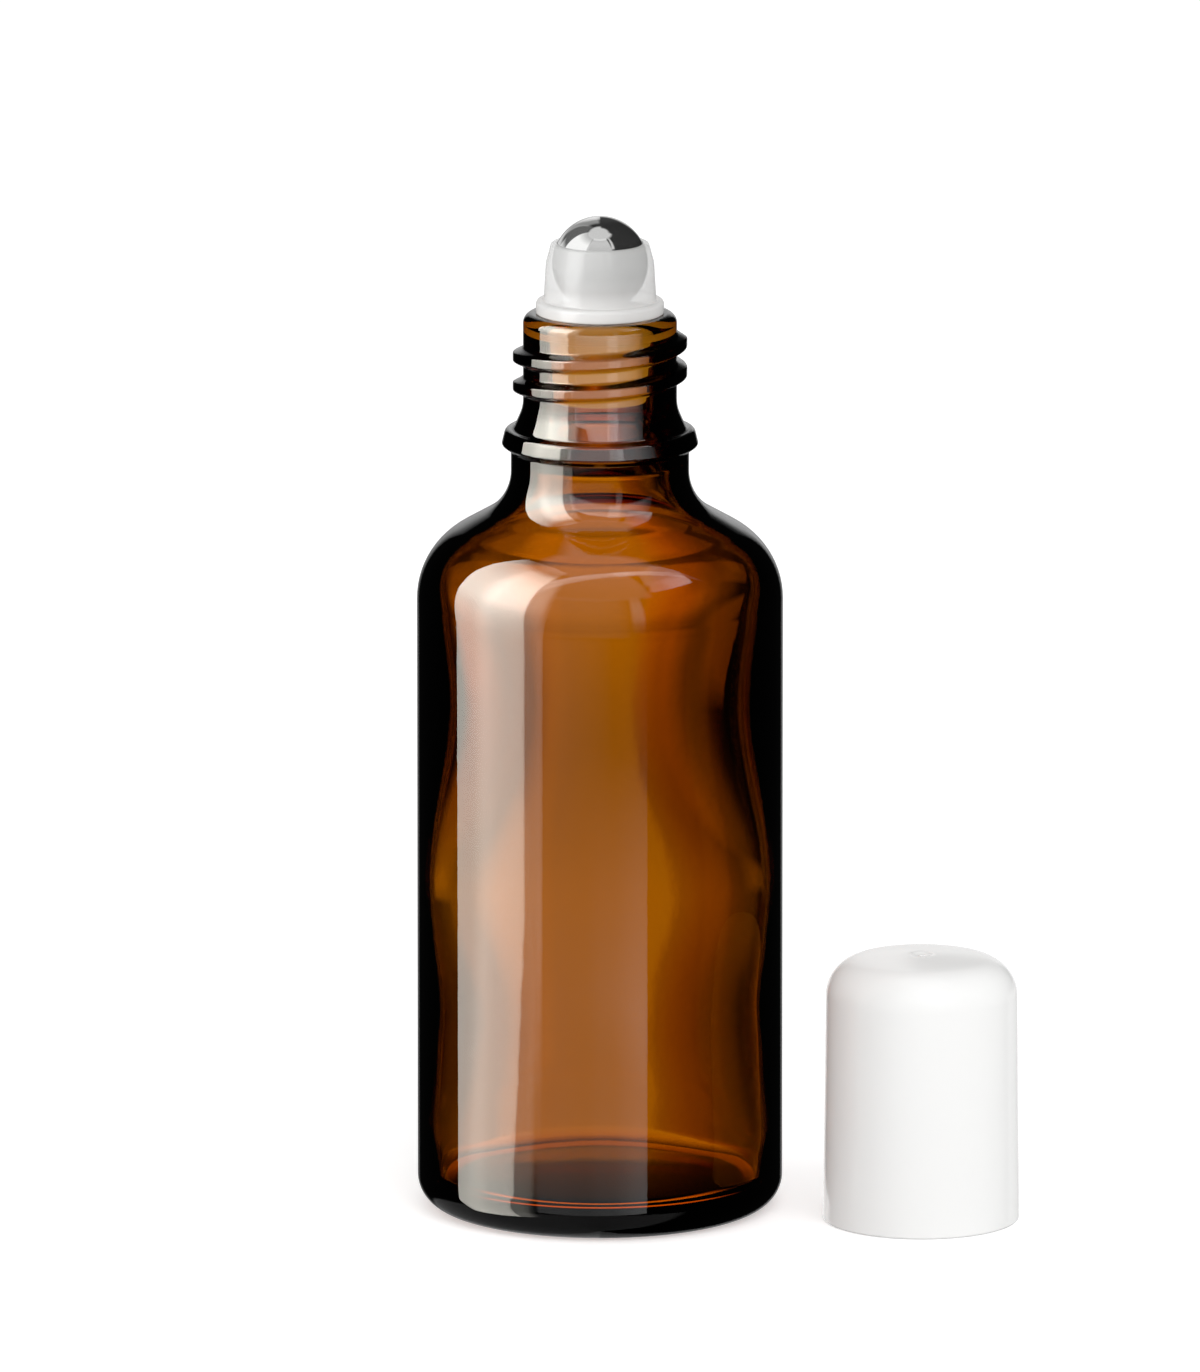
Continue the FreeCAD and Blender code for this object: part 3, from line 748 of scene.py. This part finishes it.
# Panels behind the cap that draw a thin bright rim down both of its sides
cap_rim_stops = ((-24.0, 1.0), (-6.0, 1.0), (0.0, 0.0))
cap_rim_left = (1.0, ((-180.0, 1.0), (-140.0, 1.0), (-137.0, 0.0)), cap_rim_stops)
cap_rim_right = (0.62, ((124.0, 0.0), (127.0, 1.0), (180.0, 1.0)), cap_rim_stops)

# The backlight that shows through the glass: across from left to right and upwards, in metres
backlight_distance = 0.3
backlight = (
    (1.19,
     ((-0.140, 0.0), (-0.125, 0.15), (-0.100, 0.20), (-0.076, 0.20), (-0.056, 0.30), (-0.044, 0.57),
      (-0.031, 0.57), (-0.025, 0.85), (-0.020, 1.0), (-0.015, 1.0), (-0.011, 0.95), (0.0, 0.94),
      (0.010, 0.98), (0.0125, 0.94), (0.015, 0.66), (0.019, 0.59), (0.024, 0.49), (0.029, 0.42),
      (0.034, 0.30), (0.041, 0.23), (0.050, 0.20), (0.060, 0.16), (0.070, 0.07), (0.078, 0.02), (0.095, 0.0)),
     ((-0.400, 0.85), (-0.133, 0.87), (-0.100, 0.84), (-0.075, 0.80), (-0.060, 0.70), (-0.045, 0.72),
      (-0.034, 0.75), (-0.025, 0.66), (-0.016, 0.59), (-0.011, 0.65), (-0.005, 0.78), (-0.003, 0.84),
      (0.010, 0.89), (0.021, 0.93), (0.038, 0.955), (0.057, 1.0), (0.060, 0.70), (0.064, 0.38), (0.080, 0.27),
      (0.112, 0.14), (0.150, 0.08))),
    (0.45,
     ((0.0125, 0.0), (0.0150, 0.95), (0.0200, 1.0), (0.0245, 1.0), (0.0285, 0.0)),
     ((-0.018, 0.0), (-0.014, 0.2), (-0.010, 0.4), (-0.007, 0.55), (-0.003, 0.9), (0.012, 1.0), (0.020, 0.8),
      (0.030, 0.5), (0.038, 0.3), (0.050, 0.1), (0.056, 0.0))),
    (0.42,
     ((0.0245, 0.0), (0.0285, 1.0), (0.0350, 0.9), (0.0410, 0.4), (0.0480, 0.1), (0.0600, 0.0)),
     ((-0.016, 0.0), (-0.012, 0.45), (-0.009, 0.7), (-0.006, 0.95), (0.002, 1.0), (0.008, 0.6), (0.015, 0.35),
      (0.030, 0.2), (0.060, 0.15), (0.064, 0.0))),
    (0.80,
     ((-0.125, 0.0), (-0.110, 0.6), (-0.095, 1.0), (-0.075, 0.95), (-0.058, 0.6), (-0.046, 0.0)),
     ((-0.043, 0.0), (-0.038, 0.6), (-0.030, 1.0), (-0.020, 1.0), (-0.010, 0.7), (0.004, 0.45), (0.022, 0.5),
      (0.058, 0.3), (0.064, 0.0))),
    (0.30,
     ((0.042, 0.0), (0.056, 0.7), (0.072, 1.0), (0.088, 1.0), (0.092, 0.0)),
     ((-0.036, 0.0), (-0.028, 0.9), (-0.018, 0.9), (-0.010, 0.0), (0.008, 0.0), (0.018, 0.7), (0.056, 0.7),
      (0.062, 0.0))),
    (0.22,
     ((-0.062, 0.0), (-0.055, 1.0), (-0.034, 1.0), (-0.024, 0.0)),
     ((0.056, 0.0), (0.064, 1.0), (0.085, 1.0), (0.095, 0.0))),
)
# how warm it is, from left to right
backlight_warmth = (
    (-0.150, 0.0), (0.012, 0.0), (0.016, 0.5), (0.020, 0.75), (0.024, 0.88), (0.031, 0.88), (0.038, 0.7),
    (0.050, 0.45), (0.080, 0.25), (0.150, 0.2),
)

# Under the bottle, in metres: how clear the dark is by reach, and the ring of light by reach and from front
# to back, widest at the back and brightest at the front
foot_clearness = ((0.017, 0.0), (0.023, 1.0))
foot_ring = (
    (0.9, ((0.0144, 0.0), (0.0150, 1.0), (0.0172, 1.0), (0.0178, 0.0)),
     ((-0.002, 0.0), (0.004, 1.0), (0.023, 1.0))),
    (2.2, ((0.0126, 0.0), (0.0133, 1.0), (0.0149, 1.0), (0.0154, 0.0)),
     ((-0.023, 1.0), (-0.010, 1.0), (-0.006, 0.0))),
)

lamp_distance = 1.2
plain_lamp_size = 0.9
camera_distance = 2.6
camera_elevation = 12.0
camera_lens = 675.1
softbox_tone = "#FFFBEF"
backlight_tone = "#FFCB95"
plain_light = 0.70
key_watts = 6.6
fill_watts = 11.0
cap_edge_watts = 6.0
floor_lift = 0.42
target = (0.0, 0.0, 0.053656)


def ramp(tree, value, stops):
    """A share that follows a value between its stops."""
    low, high = stops[0][0], stops[-1][0]
    place = add(tree, "ShaderNodeMapRange", {"Value": value, "From Min": low, "From Max": high}).outputs[0]
    node = add(tree, "ShaderNodeValToRGB", {0: place})
    bands = node.color_ramp.elements
    while len(bands) < len(stops):
        bands.new(0.5)
    for band, (at, share) in zip(bands, stops):
        band.position = (at - low) / (high - low)
        band.color = (share, share, share, 1.0)
    return node.outputs[0]


def light_from(tree, across, up, patches, level=0.0):
    """The light of all the patches at a place, on top of a plain level."""
    for brightness, across_stops, up_stops, *lean in patches:
        place = across
        if lean:
            start, end, shift = lean[0]
            inputs = {"Value": up, "From Min": start, "From Max": end, "To Min": 0.0, "To Max": shift}
            moved = add(tree, "ShaderNodeMapRange", inputs).outputs[0]
            place = add(tree, "ShaderNodeMath", {0: across, 1: moved}, operation="ADD").outputs[0]
        shares = {0: ramp(tree, place, across_stops), 1: ramp(tree, up, up_stops)}
        share = add(tree, "ShaderNodeMath", shares, operation="MULTIPLY").outputs[0]
        parts = {0: share, 1: brightness, 2: level}
        level = add(tree, "ShaderNodeMath", parts, operation="MULTIPLY_ADD").outputs[0]
    return level


def bearings(tree, direction):
    """The azimuth and elevation of a direction."""
    unit = add(tree, "ShaderNodeVectorMath", {0: direction}, operation="NORMALIZE").outputs[0]
    parts = add(tree, "ShaderNodeSeparateXYZ", {0: unit}).outputs
    toward = add(tree, "ShaderNodeMath", {0: parts["Y"], 1: -1.0}, operation="MULTIPLY").outputs[0]
    turn = add(tree, "ShaderNodeMath", {0: parts["X"], 1: toward}, operation="ARCTAN2").outputs[0]
    lift = add(tree, "ShaderNodeMath", {0: parts["Z"]}, operation="ARCSINE").outputs[0]
    azimuth = add(tree, "ShaderNodeMath", {0: turn}, operation="DEGREES").outputs[0]
    elevation = add(tree, "ShaderNodeMath", {0: lift}, operation="DEGREES").outputs[0]
    return azimuth, elevation


def through_both_walls(tree):
    """1 for light that crosses the bottle, and 0 for light that stays in one wall, which is taken as lost."""
    # light through both walls has passed four faces, and light that stays in one wall at most two
    depth = add(tree, "ShaderNodeLightPath").outputs["Transmission Depth"]
    return add(tree, "ShaderNodeMath", {0: depth, 1: 2.5}, operation="GREATER_THAN").outputs[0]


def make_world():
    """White behind everything, plain light on plain surfaces, and a studio in what gloss and glass show."""
    world = bpy.data.worlds.new("studio")
    bpy.context.scene.world = world
    world.use_nodes = True
    tree = world.node_tree
    tree.nodes.clear()
    direction = add(tree, "ShaderNodeTexCoord").outputs["Generated"]
    azimuth, elevation = bearings(tree, direction)
    gloss = light_from(tree, azimuth, elevation, mirrored, mirrored_dark)
    through = light_from(tree, azimuth, elevation, seen_through, seen_through_dark)
    ray = add(tree, "ShaderNodeLightPath").outputs
    crossed = {0: through, 1: through_both_walls(tree)}
    through = add(tree, "ShaderNodeMath", crossed, operation="MULTIPLY").outputs[0]
    # what a plain surface is lit by, straight or by way of gloss and glass, stays plain
    direct = add(tree, "ShaderNodeMath", {0: ray["Diffuse Depth"], 1: 0.5}, operation="LESS_THAN").outputs[0]
    level = plain_light
    for kind, brightness in (("Is Glossy Ray", gloss), ("Is Transmission Ray", through)):
        share = add(tree, "ShaderNodeMath", {0: ray[kind], 1: direct}, operation="MULTIPLY").outputs[0]
        level = add(tree, "ShaderNodeMix", {0: share, 2: level, 3: brightness}).outputs[0]
    level = add(tree, "ShaderNodeMix", {0: ray["Is Camera Ray"], 2: level, 3: 1.0}).outputs[0]
    light = add(tree, "ShaderNodeBackground", {"Color": linear("#FFFFFF"), "Strength": level})
    add(tree, "ShaderNodeOutputWorld", {"Surface": light.outputs[0]})


def direction_from(azimuth, elevation):
    """A unit vector from the object towards an azimuth and an elevation."""
    a, e = math.radians(azimuth), math.radians(elevation)
    return math.sin(a) * math.cos(e), -math.cos(a) * math.cos(e), math.sin(e)


def aim(thing, azimuth, elevation, distance, point=target):
    """Puts a lamp or camera at a distance from a point, looking at it."""
    back = direction_from(azimuth, elevation)
    thing.location = [p + distance * b for p, b in zip(point, back)]
    thing.rotation_euler = (math.pi / 2 - math.radians(elevation), 0.0, math.radians(azimuth))


def make_lamp(name, azimuth, elevation, distance, width, height, watts, point=target):
    """A flat lamp that looks at a point and isn't in the picture."""
    lamp = bpy.data.lights.new(name, "AREA")
    lamp.shape = "RECTANGLE"
    lamp.size, lamp.size_y = width, height
    lamp.energy = watts
    holder = bpy.data.objects.new(name, lamp)
    bpy.context.scene.collection.objects.link(holder)
    aim(holder, azimuth, elevation, distance, point)
    holder.visible_camera = False
    return holder


def only_for(lamp, pieces):
    """Lets a lamp light only these pieces."""
    group = bpy.data.collections.new(lamp.name + "_lights")
    for piece in pieces:
        group.objects.link(piece)
    lamp.light_linking.receiver_collection = group


def unblocked_for(lamp, pieces):
    """Lets a lamp light only these pieces, with no other piece in its way."""
    only_for(lamp, pieces)
    lamp.light_linking.blocker_collection = lamp.light_linking.receiver_collection


def make_plain_lamp(name, azimuth, elevation, watts):
    """A broad lamp for plain surfaces only."""
    lamp = make_lamp(name, azimuth, elevation, lamp_distance, plain_lamp_size, plain_lamp_size, watts)
    lamp.visible_glossy = False
    lamp.visible_transmission = False
    return lamp


def make_softbox(name, lit, patches, azimuth, elevation, distance, width, height, point=target,
                 tone="#FFFFFF"):
    """A lamp that only shows as a reflection, on the pieces that it lights."""
    box = make_lamp(name, azimuth, elevation, distance, width, height, math.pi * width * height, point)
    box.data.use_nodes = True
    tree = box.data.node_tree
    place = add(tree, "ShaderNodeNewGeometry").outputs["Position"]
    direction = add(tree, "ShaderNodeVectorMath", {0: place, 1: point}, operation="SUBTRACT").outputs[0]
    level = light_from(tree, *bearings(tree, direction), patches)
    tree.links.new(level, tree.nodes["Emission"].inputs["Strength"])
    tree.nodes["Emission"].inputs["Color"].default_value = linear(tone)
    box.visible_diffuse = False
    box.visible_transmission = False
    only_for(box, lit)


def see_through_stage(name, corners, make_surface):
    """A flat stage piece that only shows through glass."""
    mesh = bpy.data.meshes.new(name)
    mesh.from_pydata(corners, [], [tuple(range(len(corners)))])
    card = bpy.data.objects.new(name, mesh)
    bpy.context.scene.collection.objects.link(card)
    material = bpy.data.materials.new(name + "_surface")
    material.use_nodes = True
    tree = material.node_tree
    tree.nodes.clear()
    place = add(tree, "ShaderNodeTexCoord").outputs["Object"]
    add(tree, "ShaderNodeOutputMaterial", {"Surface": make_surface(tree, place)})
    mesh.materials.append(material)
    card.visible_camera = False
    card.visible_diffuse = False
    card.visible_glossy = False
    card.visible_shadow = False


def make_backlight():
    """A glowing card behind the bottle."""
    def surface(tree, place):
        parts = add(tree, "ShaderNodeSeparateXYZ", {0: place}).outputs
        crossed = {0: light_from(tree, parts["X"], parts["Z"], backlight), 1: through_both_walls(tree)}
        level = add(tree, "ShaderNodeMath", crossed, operation="MULTIPLY").outputs[0]
        tint = {0: ramp(tree, parts["X"], backlight_warmth), 6: linear("#FFFFFF"), 7: linear(backlight_tone)}
        colour = add(tree, "ShaderNodeMix", tint, data_type="RGBA").outputs[2]
        glow = add(tree, "ShaderNodeEmission", {"Color": colour, "Strength": level}).outputs[0]
        clear = add(tree, "ShaderNodeBsdfTransparent").outputs[0]
        return add(tree, "ShaderNodeAddShader", {0: glow, 1: clear}).outputs[0]

    half, low, high = 0.15, -0.40, 0.15
    corners = [(-half, low), (half, low), (half, high), (-half, high)]
    see_through_stage("backlight", [(x, backlight_distance, z) for x, z in corners], surface)


def make_foot_shade():
    """The dark of the table where the bottle stands on it, with the ring of light that its rim gathers."""
    def surface(tree, place):
        reach = add(tree, "ShaderNodeVectorMath", {0: place}, operation="LENGTH").outputs["Value"]
        back = add(tree, "ShaderNodeSeparateXYZ", {0: place}).outputs["Y"]
        clear = add(tree, "ShaderNodeBsdfTransparent", {"Color": ramp(tree, reach, foot_clearness)})
        glow = add(tree, "ShaderNodeEmission", {"Strength": light_from(tree, reach, back, foot_ring)})
        return add(tree, "ShaderNodeAddShader", {0: glow.outputs[0], 1: clear.outputs[0]}).outputs[0]

    radius, low = foot_clearness[-1][0], -0.01 * MM
    turns = [2 * math.pi * i / SEGMENTS for i in range(SEGMENTS)]
    corners = [(radius * math.cos(turn), radius * math.sin(turn), low) for turn in turns]
    see_through_stage("foot_shade", corners, surface)


def make_floor():
    """A pale matt floor that glass and metal don't mirror."""
    half = 4.0
    low = -0.02 * MM
    corners = [(-half, -half, low), (half, -half, low), (half, half, low), (-half, half, low)]
    mesh = bpy.data.meshes.new("floor")
    mesh.from_pydata(corners, [], [(0, 1, 2, 3)])
    floor = bpy.data.objects.new("floor", mesh)
    bpy.context.scene.collection.objects.link(floor)
    material = bpy.data.materials.new("pale_paper")
    material.use_nodes = True
    tree = material.node_tree
    tree.nodes.clear()
    paper = add(tree, "ShaderNodeBsdfDiffuse", {"Color": linear("#F2F2F2")}).outputs[0]
    seen = add(tree, "ShaderNodeLightPath").outputs["Is Camera Ray"]
    lift = add(tree, "ShaderNodeMath", {0: seen, 1: floor_lift}, operation="MULTIPLY").outputs[0]
    glow = add(tree, "ShaderNodeEmission", {"Color": linear("#FFFFFF"), "Strength": lift}).outputs[0]
    both = add(tree, "ShaderNodeAddShader", {0: paper, 1: glow}).outputs[0]
    add(tree, "ShaderNodeOutputMaterial", {"Surface": both})
    mesh.materials.append(material)
    floor.visible_glossy = False
    floor.visible_transmission = False
    floor.visible_shadow = False


def make_camera():
    """The photograph's viewpoint, far away through a long lens."""
    camera = bpy.data.cameras.new("camera")
    camera.lens = camera_lens
    camera.sensor_width = 36.0
    camera.clip_end = 20.0
    holder = bpy.data.objects.new("camera", camera)
    bpy.context.scene.collection.objects.link(holder)
    aim(holder, 0.0, camera_elevation, camera_distance)
    bpy.context.scene.camera = holder


bpy.context.scene.view_settings.view_transform = "Standard"
make_camera()
make_world()
make_floor()
make_backlight()
make_foot_shade()
make_plain_lamp("key_lamp", 20.0, 38.0, key_watts)

thread = thread_tree()
bottle = make_bottle(thread, amber_glass())
housing = make_roller_housing(natural_polyethylene())
ball = make_roller_ball(polished_steel())
cap = make_cap(thread, white_polypropylene())
# the photograph's bottle doesn't mirror its cap
cap.visible_glossy = False
unblocked_for(make_plain_lamp("cap_edge", -132.0, 10.0, cap_edge_watts), [cap])
only_for(make_plain_lamp("housing_fill", -62.0, 6.0, fill_watts), [housing])
# each piece mirrors softboxes of its own, as the four were lit apart in the photograph
# (azimuth, elevation, distance, width and height)
make_softbox("left_softbox", [bottle], [left_softbox], -69.1, 16.0, lamp_distance, 1.734, 3.56,
             tone=softbox_tone)
make_softbox("right_softbox", [bottle], right_softbox, 63.0, 56.0, lamp_distance, 1.3, 1.0)
make_softbox("front_paper", [bottle], front_paper, -5.0, -17.0, 0.3, 0.48, 0.16)
make_softbox("neck_card", [bottle], neck_card, 15.0, -5.0, 0.021, 0.046, 0.016, neck_middle)
make_softbox("plastic_softbox", [housing], [plastic_softbox], -60.0, 20.0, lamp_distance, 0.8, 1.6)
make_softbox("ball_softbox", [ball], ball_softbox, -87.0, 20.0, lamp_distance, 2.9, 4.0)
make_softbox("ball_front", [ball], ball_front, 6.0, 53.0, lamp_distance, 2.1, 1.0)
make_softbox("ball_behind", [ball], ball_behind, -145.0, 30.0, lamp_distance, 1.7, 2.1)
make_softbox("cap_rim_left", [cap], [cap_rim_left], -158.0, -12.0, lamp_distance, 1.0, 0.6)
make_softbox("cap_rim_right", [cap], [cap_rim_right], 152.0, -12.0, lamp_distance, 1.3, 0.6)

for piece, node, body, slot in (
    (bottle, "bottle", "bottle_body", "amber_glass"),
    (housing, "roller_housing", "bottle_body", "natural_polyethylene"),
    (ball, "roller_ball", "ball", "polished_steel"),
    (cap, "cap", "cap", "white_polypropylene"),
):
    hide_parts(node)
    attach(piece, body)
